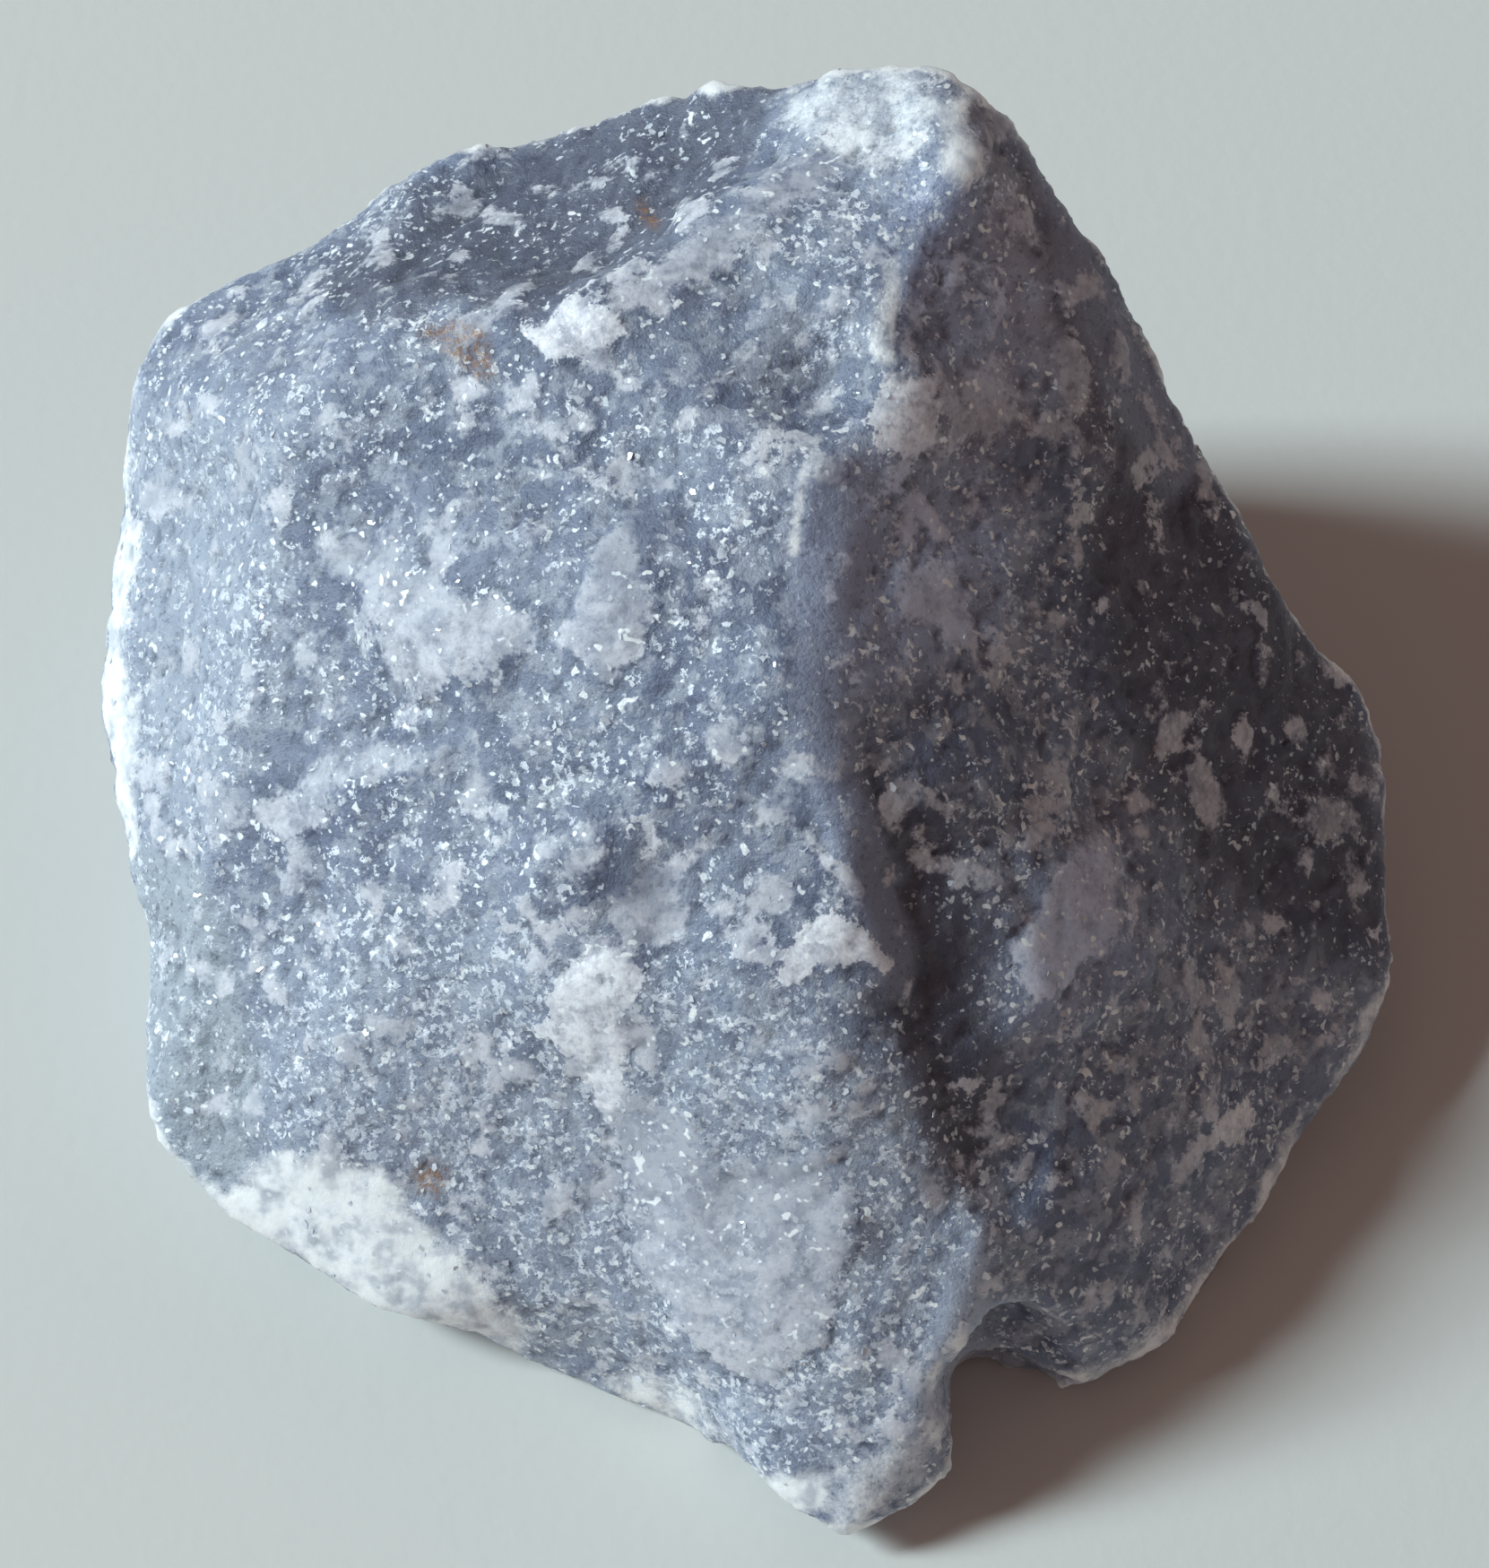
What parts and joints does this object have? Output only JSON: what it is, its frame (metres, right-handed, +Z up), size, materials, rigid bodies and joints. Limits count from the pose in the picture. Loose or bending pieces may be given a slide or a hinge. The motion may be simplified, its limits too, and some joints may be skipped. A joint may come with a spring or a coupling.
{
  "type": "raw angelite stone",
  "caption": "Rough broken chunk of pale blue-grey angelite with a sharp crest, a scooped shaded face, a pointed prong and a flat underside to rest on.",
  "frame": {"origin": "middle of the stone's box in plan, on the ground that its flat underside rests on", "axes": "+Z up; -Y towards the viewer of the picture, where the prong points; +X to the viewer's right"},
  "size_m": [0.081, 0.0806, 0.047],
  "materials": {
    "angelite": null
  },
  "bodies": {
    "root": {"stone": "angelite"}
  },
  "joints": []
}
